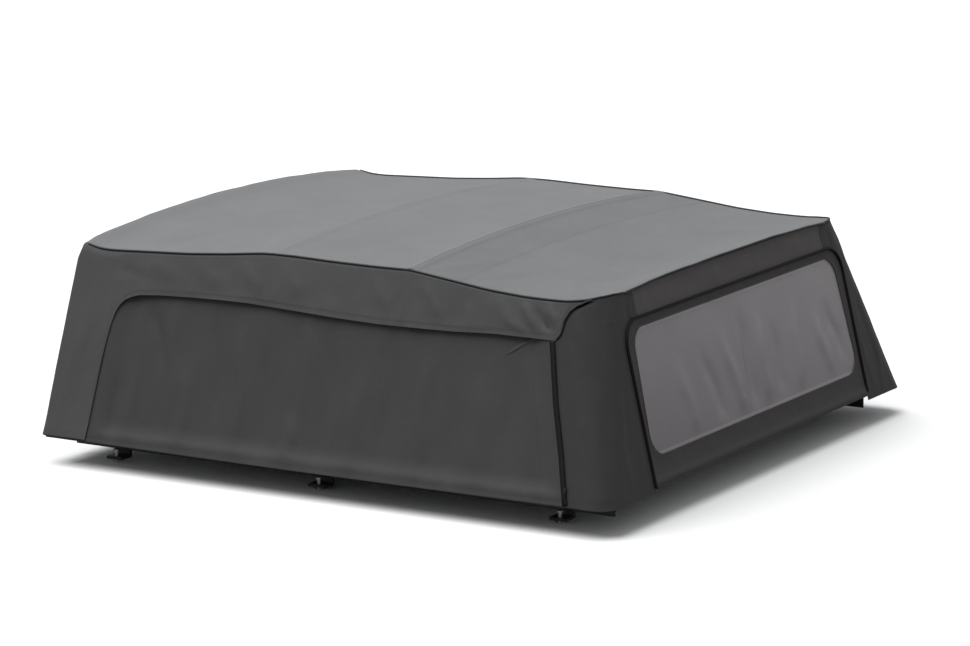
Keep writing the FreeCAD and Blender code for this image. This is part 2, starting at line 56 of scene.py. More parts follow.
eye = Vector((-8.7676, -5.2471, 2.379))
aim = Vector((0.0, 0.0, 0.285))
ahead = (aim - eye).normalized()
side = ahead.cross(Vector((0.2066, 0.1162, 0.9715))).normalized()
up = side.cross(ahead)
camera_data = bpy.data.cameras.new("camera")
camera_data.lens = 158.0
camera_data.sensor_width = 36.0
camera_data.clip_end = 200.0
camera = bpy.data.objects.new("camera", camera_data)
camera.matrix_world = Matrix.Translation(eye) @ Matrix((side, up, -ahead)).transposed().to_4x4()
bpy.context.collection.objects.link(camera)
bpy.context.scene.camera = camera
bpy.context.scene.view_settings.view_transform = "Standard"

floor_mesh = bpy.data.meshes.new("floor")
floor_mesh.from_pydata([(-60, -60, 0), (60, -60, 0), (60, 60, 0), (-60, 60, 0)], [], [(0, 1, 2, 3)])
floor = bpy.data.objects.new("floor", floor_mesh)
bpy.context.collection.objects.link(floor)
paper = bpy.data.materials.new("floor_paper")
paper.use_nodes = True
paper.node_tree.nodes["Principled BSDF"].inputs["Base Color"].default_value = (0.86, 0.86, 0.86, 1)
paper.node_tree.nodes["Principled BSDF"].inputs["Roughness"].default_value = 0.9
paper.node_tree.nodes["Principled BSDF"].inputs["Specular IOR Level"].default_value = 0.1
floor_ray = paper.node_tree.nodes.new("ShaderNodeLightPath")
floor_tone = paper.node_tree.nodes.new("ShaderNodeMix")
floor_tone.data_type = "RGBA"
floor_tone.inputs["A"].default_value = (0.22, 0.22, 0.22, 1)
floor_tone.inputs["B"].default_value = (0.86, 0.86, 0.86, 1)
paper.node_tree.links.new(floor_ray.outputs["Is Camera Ray"], floor_tone.inputs["Factor"])
paper_skin = paper.node_tree.nodes["Principled BSDF"]
paper.node_tree.links.new(floor_tone.outputs["Result"], paper_skin.inputs["Base Color"])
floor_mesh.materials.append(paper)

sun_data = bpy.data.lights.new("soft_sun", "SUN")
sun_data.energy = 3.3
sun_data.angle = math.radians(60)
sun = bpy.data.objects.new("soft_sun", sun_data)
sun.rotation_euler = (math.radians(-16), math.radians(-13), 0)
bpy.context.collection.objects.link(sun)

world = bpy.data.worlds.new("studio")
bpy.context.scene.world = world
world.use_nodes = True
sky = world.node_tree.nodes["Background"]
sky.inputs["Color"].default_value = (0.97, 0.985, 1.0, 1)
ray = world.node_tree.nodes.new("ShaderNodeLightPath")
level = world.node_tree.nodes.new("ShaderNodeMapRange")
level.inputs["To Min"].default_value = 0.5
level.inputs["To Max"].default_value = 1.0
world.node_tree.links.new(ray.outputs["Is Camera Ray"], level.inputs["Value"])
world.node_tree.links.new(level.outputs["Result"], sky.inputs["Strength"])

# Roof cloth: coated canvas in three bays, from the front hoop over the two middle hoops to the rear hoop.
# Each bay takes its side flaps with it, and the front bay its two corner strips down to the rails.
# Black piping is sewn into both roof edges, round the rear corners and along the rear edge.

SEAT = 66.0
HOOP_Y = [742.0, 218.0, -160.0, -642.0]
SIDE_FOOT_X = 768.0
SIDE_LEAN = 0.354
REAR_FOOT_Y = -778.0
REAR_LEAN = 0.239
FRONT_FOOT_Y = 776.8
FRONT_LEAN = 0.026
CANVAS_THICK = 1.4
PIPING_R = 2.6
ROOF_EDGE = [
    # y, height above the rails
    (-620, 439), (-566, 436), (-474, 437), (-380, 443), (-236, 460), (-168, 468), (-71, 467), (46, 468),
    (165, 471), (245, 470), (343, 460), (454, 451), (587, 445), (671, 441), (713, 442), (764, 453)]
FLAP_EDGE = [
    # y, height of the flap's lower edge
    (-556, 350), (-492, 350), (-408, 350), (-307, 345), (-212, 343), (-98, 342), (20, 345), (139, 350),
    (260, 355), (341, 355), (432, 353), (514, 350), (572, 345), (593, 339), (610, 331), (622, 319),
    (631, 303), (638, 280), (643, 248), (647, 205), (649, 174), (652, 100), (655, 6), (800, 6)]
ARCH = [
    # distance round the corner, height of the seam between flap and corner cloth
    (-200, 350), (-47, 350), (-31, 354), (-20, 364), (-13, 378), (-6, 396), (11, 417), (30, 430),
    (52, 437), (80, 439), (120, 441), (150, 442)]
CORNER_EDGE = [(-100, 436), (0, 437), (45, 441), (80, 446), (115, 449), (150, 448)]


def line(table, at):
    xs, ys = zip(*table)
    return np.interp(at, xs, ys)


def smooth_line(table, at):
    """The table's line with its corners eased."""
    total = 0
    for shift, share in ((-22, 0.12), (-11, 0.23), (0, 0.3), (11, 0.23), (22, 0.12)):
        total = total + share * line(table, np.asarray(at) + shift)
    return total


def step(a, b, x):
    t = np.clip((np.asarray(x, float) - a) / (b - a), 0, 1)
    return t * t * (3 - 2 * t)


def side_x(h):
    return SIDE_FOOT_X - SIDE_LEAN * h


def rear_y(h):
    return REAR_FOOT_Y + REAR_LEAN * h


def front_y(h):
    return FRONT_FOOT_Y - FRONT_LEAN * h


def corner_r(h):
    return 70.0 + 25.0 * (h - 6.0) / 430.0


def round_corner(h, s):
    """x, y and the outward direction at s along the cloth, with 0 where the side meets the rear corner."""
    r = corner_r(h)
    a = np.clip(s / r, 0, math.pi / 2)
    x = side_x(h) - r + r * np.cos(a) - np.maximum(0, s - r * math.pi / 2)
    y = rear_y(h) + r - r * np.sin(a) + np.maximum(0, -s)
    return x, y, np.cos(a), -np.sin(a)


def folds(a, b, table):
    """Soft creases: each runs from one point to another, with its half width and its height."""
    total = np.zeros(np.broadcast(a, b).shape)
    for a0, b0, a1, b1, wide, high in table:
        da, db = a1 - a0, b1 - b0
        length = math.hypot(da, db)
        t = ((a - a0) * da + (b - b0) * db) / length ** 2
        off = ((a - a0) * db - (b - b0) * da) / length
        off = off + 0.12 * wide * np.sin(9 * t + a0)
        total += high * np.exp(-(off / wide) ** 2) * step(-0.25, 0.3, t) * (1 - step(0.6, 1.3, t))
    return total


def ripple(a, b, seed, long=90.0):
    """Slow uneven waves of height about 1."""
    total = 0
    waves = ((1.0, 0.35, 0.5), (1.7, -0.8, 0.3), (2.9, 1.3, 0.2), (0.6, 2.1, 0.25))
    for k, (fa, fb, share) in enumerate(waves):
        total = total + share * np.sin(2 * math.pi * (fa * a + fb * b) / long + 1.7 * seed + 2.1 * k)
    return total


def sheet_part(grid, thick, tone=None, slot=0, ring=False):
    """A closed thin sheet: outer face, inner face and rims. ring joins the last row to the first."""
    p = np.asarray(grid, float)
    tone = np.ones(p.shape[:2]) if tone is None else np.broadcast_to(tone, p.shape[:2])
    if ring:
        p, tone = p[:-1], tone[:-1]
        along = np.roll(p, -1, axis=0) - np.roll(p, 1, axis=0)
    else:
        along = np.gradient(p, axis=0)
    normal = np.cross(along, np.gradient(p, axis=1))
    normal /= np.maximum(np.linalg.norm(normal, axis=2, keepdims=True), 1e-9)
    inner = p - normal * thick
    n, m = p.shape[:2]
    u = np.concatenate([[0], np.cumsum(np.linalg.norm(np.diff(p[:, m // 2], axis=0), axis=1))])
    v = np.concatenate([[0], np.cumsum(np.linalg.norm(np.diff(p[n // 2], axis=0), axis=1))])
    uv = np.stack(np.broadcast_arrays(u[:, None], v[None, :]), -1).reshape(-1, 2)
    k = np.arange(n * m).reshape(n, m)
    k = np.concatenate([k, k[:1]]) if ring else k
    a, b, c, d = k[:-1, :-1].ravel(), k[1:, :-1].ravel(), k[1:, 1:].ravel(), k[:-1, 1:].ravel()
    faces = [np.stack([a, b, c, d], 1), np.stack([a, d, c, b], 1) + n * m]
    rims = [(k[1:, 0], k[:-1, 0]), (k[:-1, -1], k[1:, -1])]
    if not ring:
        rims += [(k[0, :-1], k[0, 1:]), (k[-1, 1:], k[-1, :-1])]
    for e, f in rims:
        faces.append(np.stack([e, f, f + n * m, e + n * m], 1))
    points = np.concatenate([p.reshape(-1, 3), inner.reshape(-1, 3)])
    rim = np.zeros((n, m), bool)
    rim[:, 0] = rim[:, -1] = True
    if not ring:
        rim[0] = rim[-1] = True
    return points, np.concatenate(faces), np.tile(uv, (2, 1)), np.tile(tone.ravel(),
                                                                       2), slot, np.tile(rim.ravel(), 2)


def cord_part(points, radius, slot=1, sides=8, tone=1.0, flat=1.0):
    """A round cord along the points, closed at its ends. flat squeezes it towards the second axis."""
    p = np.asarray(points, float)
    t = np.gradient(p, axis=0)
    t /= np.linalg.norm(t, axis=1, keepdims=True)
    guide = np.array([0.0, 0.0, 1.0]) if abs(t[:, 2]).mean() < 0.8 else np.array([1.0, 0.0, 0.0])
    e = np.cross(t, guide)
    e /= np.linalg.norm(e, axis=1, keepdims=True)
    f = np.cross(e, t)
    angle = np.arange(sides) * 2 * math.pi / sides
    turn = np.cos(angle)[None, :, None] * e[:, None] + flat * np.sin(angle)[None, :, None] * f[:, None]
    ring = p[:, None] + radius * turn
    n = len(p)
    k = np.arange(n * sides).reshape(n, sides)
    q = np.roll(k, -1, axis=1)
    faces = np.stack([k[:-1].ravel(), q[:-1].ravel(), q[1:].ravel(), k[1:].ravel()], 1)
    ends = n * sides + np.array([0, 1])
    caps = [np.stack([q[0], k[0], np.full(sides, ends[0]), np.full(sides, ends[0])], 1)]
    caps.append(np.stack([k[-1], q[-1], np.full(sides, ends[1]), np.full(sides, ends[1])], 1))
    points = np.concatenate([ring.reshape(-1, 3), p[:1], p[-1:]])
    far = np.concatenate([[0], np.cumsum(np.linalg.norm(np.diff(p, axis=0), axis=1))])
    uv = np.stack(np.broadcast_arrays(far[:, None], np.arange(sides)[None] * radius), -1).reshape(-1, 2)
    uv = np.concatenate([uv, uv[:1], uv[-1:]])
    return points, np.concatenate([faces] + caps), uv, np.full(len(points),
                                                               tone), slot, np.zeros(len(points), bool)


def sewn(name, parts, materials):
    """One mesh object from the parts, in millimetres above the rails, with tone and thread coordinates."""
    verts, faces, uvs, tones, slots, rims, start = [], [], [], [], [], [], 0
    for points, quads, uv, tone, slot, rim in parts:
        rims.append(rim)
        verts.append(points)
        faces.append(quads + start)
        uvs.append(uv)
        tones.append(tone)
        slots.append(np.full(len(quads), slot))
        start += len(points)
    verts = np.concatenate(verts) / 1000.0
    verts[:, 2] += SEAT / 1000.0
    uvs = np.concatenate(uvs) / 1000.0
    mesh = bpy.data.meshes.new(name)
    rows = [tuple(dict.fromkeys(row)) for row in np.concatenate(faces).tolist()]
    mesh.from_pydata(verts.tolist(), [], rows)
    mesh.polygons.foreach_set("material_index", np.concatenate(slots).astype(np.int32))
    mesh.polygons.foreach_set("use_smooth", np.ones(len(rows), bool))
    layer = mesh.uv_layers.new(name="thread")
    corner = np.empty(len(mesh.loops), np.int32)
    mesh.loops.foreach_get("vertex_index", corner)
    layer.data.foreach_set("uv", uvs[corner].astype(np.float32).ravel())
    ends = np.empty(2 * len(mesh.edges), np.int32)
    mesh.edges.foreach_get("vertices", ends)
    hard_edge = np.concatenate(rims)[ends.reshape(-1, 2)].all(1)
    mesh.edges.foreach_set("use_edge_sharp", hard_edge)
    shade = mesh.attributes.new("tone", "FLOAT", "POINT")
    shade.data.foreach_set("value", np.concatenate(tones).astype(np.float32))
    for material in materials:
        mesh.materials.append(material)
    mesh.update()
    obj = bpy.data.objects.new(name, mesh)
    bpy.context.collection.objects.link(obj)
    return obj


def canvas(name, colour, rough, sheen, dust):
    """Tightly woven coated canvas: thread bump, uneven dye, fine lint and a little sheen."""
    material = bpy.data.materials.new(name)
    material.use_nodes = True
    nodes, links = material.node_tree.nodes, material.node_tree.links
    skin = nodes["Principled BSDF"]
    skin.inputs["Sheen Weight"].default_value = sheen
    skin.inputs["Sheen Roughness"].default_value = 0.45
    skin.inputs["Specular IOR Level"].default_value = 0.35
    place = nodes.new("ShaderNodeTexCoord")
    tone = nodes.new("ShaderNodeAttribute")
    tone.attribute_name = "tone"
    dye = nodes.new("ShaderNodeTexNoise")
    dye.inputs["Scale"].default_value = 5.5
    dye.inputs["Detail"].default_value = 5.0
    dye.inputs["Roughness"].default_value = 0.62
    lint = nodes.new("ShaderNodeTexNoise")
    lint.inputs["Scale"].default_value = 420.0
    lint.inputs["Detail"].default_value = 2.0
    links.new(place.outputs["Object"], dye.inputs["Vector"])
    links.new(place.outputs["Object"], lint.inputs["Vector"])
    uneven = nodes.new("ShaderNodeMapRange")
    uneven.inputs["From Min"].default_value = 0.3
    uneven.inputs["From Max"].default_value = 0.7
    uneven.inputs["To Min"].default_value = 1.0 - dust
    uneven.inputs["To Max"].default_value = 1.0 + dust
    links.new(dye.outputs["Fac"], uneven.inputs["Value"])
    specks = nodes.new("ShaderNodeMapRange")
    specks.inputs["From Min"].default_value = 0.35
    specks.inputs["From Max"].default_value = 0.65
    specks.inputs["To Min"].default_value = 0.9
    specks.inputs["To Max"].default_value = 1.1
    links.new(lint.outputs["Fac"], specks.inputs["Value"])
    both = nodes.new("ShaderNodeMath")
    both.operation = "MULTIPLY"
    links.new(uneven.outputs["Result"], both.inputs[0])
    links.new(specks.outputs["Result"], both.inputs[1])
    all_three = nodes.new("ShaderNodeMath")
    all_three.operation = "MULTIPLY"
    links.new(both.outputs[0], all_three.inputs[0])
    links.new(tone.outputs["Fac"], all_three.inputs[1])
    tint = nodes.new("ShaderNodeMix")
    tint.data_type = "RGBA"
    tint.blend_type = "MULTIPLY"
    tint.inputs["Factor"].default_value = 1.0
    tint.inputs["A"].default_value = (*colour, 1)
    grey = nodes.new("ShaderNodeCombineColor")
    for channel in ("Red", "Green", "Blue"):
        links.new(all_three.outputs[0], grey.inputs[channel])
    links.new(grey.outputs["Color"], tint.inputs["B"])
    links.new(tint.outputs["Result"], skin.inputs["Base Color"])
    dull = nodes.new("ShaderNodeMapRange")
    dull.inputs["To Min"].default_value = rough - 0.09
    dull.inputs["To Max"].default_value = rough + 0.09
    links.new(dye.outputs["Fac"], dull.inputs["Value"])
    links.new(dull.outputs["Result"], skin.inputs["Roughness"])
    split = nodes.new("ShaderNodeSeparateXYZ")
    links.new(place.outputs["UV"], split.inputs["Vector"])
    threads = []
    for axis, pitch in (("X", 0.00115), ("Y", 0.00095)):
        turn = nodes.new("ShaderNodeMath")
        turn.operation = "MULTIPLY"
        turn.inputs[1].default_value = 2 * math.pi / pitch
        wave = nodes.new("ShaderNodeMath")
        wave.operation = "SINE"
        links.new(split.outputs[axis], turn.inputs[0])
        links.new(turn.outputs[0], wave.inputs[0])
        threads.append(wave)
    weave = nodes.new("ShaderNodeMath")
    weave.operation = "MULTIPLY"
    links.new(threads[0].outputs[0], weave.inputs[0])
    links.new(threads[1].outputs[0], weave.inputs[1])
    cross = nodes.new("ShaderNodeBump")
    cross.inputs["Strength"].default_value = 0.3
    cross.inputs["Distance"].default_value = 0.00022
    links.new(weave.outputs[0], cross.inputs["Height"])
    slack = nodes.new("ShaderNodeTexNoise")
    slack.inputs["Scale"].default_value = 24.0
    slack.inputs["Detail"].default_value = 4.0
    links.new(place.outputs["Object"], slack.inputs["Vector"])
    dents = nodes.new("ShaderNodeBump")
    dents.inputs["Strength"].default_value = 0.35
    dents.inputs["Distance"].default_value = 0.0016
    links.new(slack.outputs["Fac"], dents.inputs["Height"])
    links.new(cross.outputs["Normal"], dents.inputs["Normal"])
    links.new(dents.outputs["Normal"], skin.inputs["Normal"])
    return material


# Roof, flap and side canvas are one black cloth: the roof colour is painted light for the sun from above,
# and the flap colour is painted lighter than the sides.
roof_canvas_painted_light = canvas("roof_canvas_painted_light", (0.150, 0.152, 0.158), 0.62, 0.10, 0.06)
flap_canvas_painted_light = canvas("flap_canvas_painted_light", (0.050, 0.050, 0.051), 0.66, 0.06, 0.07)
side_canvas = canvas("side_canvas", (0.034, 0.034, 0.035), 0.66, 0.06, 0.06)
piping_vinyl = canvas("piping_vinyl", (0.012, 0.012, 0.013), 0.42, 0.0, 0.05)

BAY_FOLDS = [
    # y, height, y, height, half width, height of the crease, on the side flaps
    (742, 440, 700, 372, 16, 2.5), (735, 436, 640, 400, 13, 1.8), (728, 250, 742, 60, 14, 1.6),
    (706, 330, 716, 90, 12, 1.3), (690, 410, 560, 385, 14, -2.0), (560, 432, 470, 392, 18, 1.8),
    (430, 428, 330, 380, 22, 2.2), (300, 446, 226, 372, 16, 2.4), (214, 458, 232, 362, 12, -2.2),
    (180, 448, 120, 380, 18, 1.8), (60, 442, 20, 366, 24, -1.6), (-60, 446, -130, 372, 18, 2.0),
    (-166, 455, -150, 360, 13, -2.4), (-200, 446, -262, 372, 15, 2.2), (-330, 436, -300, 362, 22, -1.8),
    (-400, 428, -452, 374, 18, 2.6), (-470, 428, -520, 366, 11, 4.2), (-500, 412, -556, 368, 9, -3.4),
    (-530, 434, -566, 384, 10, 3.4), (-440, 380, -500, 356, 10, 2.6)]
ROOF_FOLDS = [
    # x, y, x, y, half width, height of the crease, on the roof
    (-585, 700, -430, 560, 22, 2.0), (-570, 560, -300, 470, 30, -1.6), (-560, 250, -380, 330, 20, 1.7),
    (-565, -200, -380, -290, 18, 1.8), (-560, -330, -420, -420, 22, -2.0),
    (-575, -590, -430, -480, 20, 2.4), (-480, -640, -330, -540, 18, 1.8), (0, -660, 40, -520, 26, 1.2),
    (420, -640, 300, -500, 22, 1.8), (590, 690, 420, 560, 22, 2.0), (560, -200, 400, -300, 20, 1.8),
    (580, 240, 420, 330, 20, 1.5)]


def roof_bay(name, columns, front_roll, bend, nodes):
    """columns are places along the cloth: y, or with bend the distance from the rear corner."""
    t = np.asarray(columns, float)
    rows_side, rows_roof = 26, 131
    if bend:
        s = t
        _, y0, _, _ = round_corner(440.0, s)
        mix = step(-60, 20, s)
        edge = smooth_line(ROOF_EDGE, np.maximum(y0, -600)) * (1 - mix) + line(CORNER_EDGE, s) * mix
        low = np.where(y0 > -545, line(FLAP_EDGE, y0), np.minimum(line(ARCH, s), edge - 6))
    else:
        edge = smooth_line(ROOF_EDGE, t)
        low = line(FLAP_EDGE, t)
    v = np.linspace(0, 1, rows_side) ** 0.9
    h = low[:, None] + (edge - 5 - low)[:, None] * v[None]
    if bend:
        x, y, nx, ny = round_corner(h, s[:, None] + 0 * h)
        y = y - (round_corner(h, 0)[1] - round_corner(440.0, 0)[1]) * step(-60, -220, s)[:, None]
    else:
        x, y, nx, ny = side_x(h), t[:, None] + 0 * h, np.ones_like(h), np.zeros_like(h)
        lean_front = front_y(h) - front_y(edge[:, None])
        y = y + lean_front * step(640, 765, t)[:, None]
        y = y - 9.0 * (step(40, 0, edge[:, None] - h) * step(690, 764, t)[:, None])
    near_edge = np.sin(math.pi * np.clip(v, 0, 1))[None]
    sign_out = []
    for sign in (1, -1):
        wave = folds(y, h, BAY_FOLDS) * (0.35 + 0.65 * near_edge)
        wave = wave + 1.1 * ripple(y + 40 * sign, h, 2 + sign, 130) * (1 - v[None] ** 2) * 0.7
        wave = wave + 2.4 * np.sin(math.pi * v)[None] * (0.6 + 0.4 * np.sin(y / 85.0))
        wave = wave + 3.6 * np.exp(-(h - low[:, None]) / 18.0) * (0.75 + 0.25 * np.sin(y / 41.0))
        wave = wave * (1 - step(-40, 30, s))[:, None] if bend else wave
        for hoop in HOOP_Y[1:3]:
            wave = wave + (1.2 * np.sin(math.pi * v)[None] - 0.94 * wave) * np.exp(-((y - hoop) / 13.0) ** 2)
        k = 1 / math.hypot(1, SIDE_LEAN)
        sign_out.append(np.stack([sign * (x + wave * nx * k), y + wave * ny * k, h + wave * SIDE_LEAN * k],
                                 -1))
    right, left = sign_out[0], sign_out[1][:, ::-1]
    xe, ye, _, _ = round_corner(edge, s) if bend else (side_x(edge), t, 0, 0)
    half = (xe - 5.0)[:, None]
    w = np.linspace(1, -1, rows_roof)[None]
    xr = half * w
    yr = ye[:, None] + 0 * xr
    if front_roll:
        yr = yr - 9.0 * step(60, 0, half - np.abs(xr)) * step(690, 764, t)[:, None]
    rear = step(-300, -640, yr)
    crown = 26 + 8 * step(300, 700, yr) - 15 * rear
    arch_up = (1 - rear) * (1 - w ** 2) + rear * (1 - np.abs(w) ** 3.2)
    span = np.zeros_like(yr)
    for a, b in zip(HOOP_Y[1:], HOOP_Y[:-1]):
        q = np.clip((yr - a) / (b - a), 0, 1)
        span = span + np.where((yr >= a) & (yr <= b), 4 * q * (1 - q), 0)
    hr = edge[:, None] - 1.0 + crown * arch_up - 3.5 * span * (1 - w ** 4)
    calm = np.ones_like(yr)
    for hoop, high in zip(HOOP_Y[1:3], (2.6, 4.4)):
        calm = calm - 0.94 * np.exp(-((yr - hoop) / 12.0) ** 2)
        hr = hr + high * np.exp(-((yr - hoop) / 15.0) ** 2)
    hr = hr + calm * folds(xr, yr, ROOF_FOLDS) * (0.3 + 0.7 * step(0, 60, half - np.abs(xr)))
    hr = hr + 0.9 * calm * ripple(xr, yr, 5, 260) * step(0, 120, half - np.abs(xr))
    roof = np.stack([xr, yr, hr], -1)
    grid = np.concatenate([right, roof, left], 1)
    tone_side = 1 - 0.34 * np.exp(-((h - low[:, None] - 11) / 2.4) ** 2)
    tone_side = tone_side * (1 - 0.16 * step(16, 0, h - low[:, None]))
    # Behind the rear middle hoop the roof is painted darker, as painted shade where it slopes away from the
    # light. The band's extra dark is partly its sewn sleeve and partly painted shade. The seams are dark
    # seam lines.
    band = step(-173, -177, yr) * (1 - step(-291, -295, yr))
    seams = 0.5 * np.exp(-((yr + 175) / 3.0) ** 2) + np.exp(-((yr + 293) / 3.0) ** 2)
    tone_roof = 1 - 0.05 * band - 0.09 * step(-150, -180, yr) - 0.2 * seams
    tone_roof = tone_roof - 0.12 * np.exp(-((half - np.abs(xr) - 12) / 2.5) ** 2)
    tone = np.concatenate([tone_side, tone_roof, tone_side[:, ::-1]], 1)
    if front_roll:
        normal = np.cross(np.gradient(grid, axis=0), np.gradient(grid, axis=1))[0]
        normal /= np.linalg.norm(normal, axis=1, keepdims=True)
        normal *= -1 if normal[len(normal) // 2, 2] < 0 else 1
        lip, tones = [], []
        for angle, drop in ((90, 16), (90, 6), (90, 0), (66, 0), (44, 0), (22, 0)):
            a = math.radians(angle)
            out = np.array([0, 1.0, 0]) * 9 * math.sin(a)
            lip.append(grid[0] + out - normal * (9 * (1 - math.cos(a)) + drop))
            tones.append(tone[0])
        grid = np.concatenate([np.array(lip), grid])
        tone = np.concatenate([np.array(tones), tone])
    points, quads, uv, shade, _, rim = sheet_part(grid[::-1], CANVAS_THICK, tone[::-1], 0)
    column = np.arange(len(points)) % grid.shape[1]
    on_side = (column[quads].max(1) < rows_side + 1) | (column[quads].min(1) >= rows_side + rows_roof - 1)
    parts = [(points, quads[~on_side], uv, shade, 0, rim)]
    flap_quads = quads[on_side] - len(points)
    parts.append((np.zeros((0, 3)), flap_quads, np.zeros((0, 2)), np.zeros(0), 1, np.zeros(0, bool)))
    bead = np.stack([xe - 1.0, ye, edge - 0.5], -1)
    for sign in (1, -1):
        track = bead * np.array([sign, 1, 1])
        if front_roll:
            track = track[3:]
        parts.append(cord_part(track, PIPING_R, 2))
    if bend:
        for sign in (1, -1):
            arch_s = np.linspace(-31, 62, 40)
            arch_h = line(ARCH, arch_s) + 3.2 * step(34, 62, arch_s)
            arch_x, arch_y, out_x, out_y = round_corner(arch_h, arch_s)
            track = np.stack([sign * (arch_x + 0.8 * out_x), arch_y + 0.8 * out_y, arch_h], -1)
            parts.append(cord_part(track, 2.4, 2))
        across = grid[-1, rows_side:rows_side + rows_roof]
        parts.append(cord_part(across + np.array([0, -1.2, -1.0]), PIPING_R, 2))
    piece = sewn(name, parts, [roof_canvas_painted_light, flap_canvas_painted_light, piping_vinyl])
    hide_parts(*nodes)
    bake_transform(piece)
    return piece


fine = np.concatenate([np.linspace(764, 660, 18), np.linspace(656, 604, 27), np.linspace(597, 218, 56)])
roof_front = roof_bay("roof_front", fine, True, False,
                      ("deck_front", "valance_left", "valance_right"))
roof_middle = roof_bay("roof_middle", np.linspace(218, -160, 60), False, False,
                       ("deck_middle",))
corner_start = rear_y(440.0) + corner_r(440.0)
straight = -(np.linspace(-160, corner_start + 46, 62) - corner_start)
turn = np.linspace(-44, corner_r(447.0) * math.pi / 2, 58)
roof_rear = roof_bay("roof_rear", np.concatenate([straight, turn]), False, True,
                     ("deck_rear",))

# Side panels: one plain piece of canvas each, held by the rail below and the flap above.
# The rear edge ends in a zip.

zip_teeth = canvas("zip_teeth", (0.005, 0.005, 0.006), 0.55, 0.0, 0.05)
zip_teeth.node_tree.nodes["Principled BSDF"].inputs["Specular IOR Level"].default_value = 0.15
ZIP = [(5, -662), (108, -632), (218, -596), (348, -561), (480, -520)]
SIDE_FOLDS = [
    # y, height, y, height, half width, height of the crease
    (-520, 280, -590, 14, 15, 2.2), (-470, 300, -500, 60, 20, -2.2), (-400, 230, -420, 20, 26, 2.6),
    (-330, 190, -352, 10, 18, -2.0), (-240, 260, -262, 20, 20, 2.4), (-150, 320, -170, 40, 26, -2.0),
    (-70, 200, -84, 12, 20, 2.2), (20, 300, 6, 20, 24, -2.0), (90, 330, 70, 120, 15, 2.2),
    (96, 110, 92, 10, 20, 2.0), (190, 240, 170, 12, 26, -2.2), (270, 300, 236, 30, 18, 2.4),
    (352, 330, 300, 90, 18, -2.2), (402, 200, 392, 12, 22, 2.2), (470, 320, 430, 60, 20, 2.4),
    (528, 318, 470, 190, 14, -2.2), (560, 300, 540, 20, 16, 2.2), (600, 150, 590, 12, 13, -1.8)]
rows_h = np.concatenate([np.linspace(4, 340, 62), np.linspace(346, 420, 8)])
for name, sign in (("right", 1), ("left", -1)):
    share = np.linspace(0, 1, 190)
    yz = line(ZIP, rows_h)
    y_front = 770 - FRONT_LEAN * rows_h
    y = y_front[None] + (yz - y_front)[None] * share[:, None]
    h = rows_h[None] + 0 * y
    h = np.minimum(h, np.interp(y, [-640, -560, -150, 220, 770], [345, 424, 440, 440, 424]))
    h = h - 3.0 * np.sin(math.pi * share)[:, None] * step(20, 4, h)
    depth = 2.2 + 7.4 * step(0, 60, y - line(ZIP, h)) * step(0, 60, h) * step(0, 60, 640 - y)
    wave = 1.7 * folds(y, h, SIDE_FOLDS) * step(0, 30, h) * step(380, 330, h)
    wave = wave + 0.8 * ripple(y, 0.4 * h, 7 + sign, 150) * step(0, 60, h)
    tuck = np.exp(-((h - 24) / 10) ** 2) * 1.6
    out = -depth + np.clip(wave + tuck, -6, 6) * step(0, 26, y - line(ZIP, h)) * step(0, 60, 655 - y)
    out = np.minimum(out, -1.7)
    k = 1 / math.hypot(1, SIDE_LEAN)
    grid = np.stack([sign * (side_x(h) + out * k), y, h + out * SIDE_LEAN * k], -1)
    tone = 1 - 0.22 * np.exp(-((h - 16) / 2.2) ** 2) - 0.18 * np.exp(-((y - line(ZIP, h) - 12) / 2.5) ** 2)
    tone = tone - 0.10 * np.exp(-((y - line(ZIP, h) - 58) / 3.5) ** 2)
    hz = np.linspace(6, 349, 90)
    yy = line(ZIP, hz)
    zip_line = np.stack([sign * (side_x(hz) + 0.2), yy - 1.0, hz], -1)
    parts = [sheet_part(grid if sign > 0 else grid[::-1], CANVAS_THICK, tone if sign > 0 else tone[::-1], 0)]
    parts.append(cord_part(zip_line, 7.5, 1, 10, 1.0, 0.5))
    pull_h = np.array([12.0, 18, 30, 44])
    pull_tab = np.stack([sign * (side_x(pull_h) + 3.6), np.full(4, yy[0] + 3.0), pull_h], -1)
    parts.append(cord_part(pull_tab, 3.0, 1, 6, 1.0, 0.5))
    piece = sewn("side_cloth_" + name, parts, [side_canvas, zip_teeth])
    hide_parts("side_panel_" + name)
    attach(piece, "base")
    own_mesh(piece)
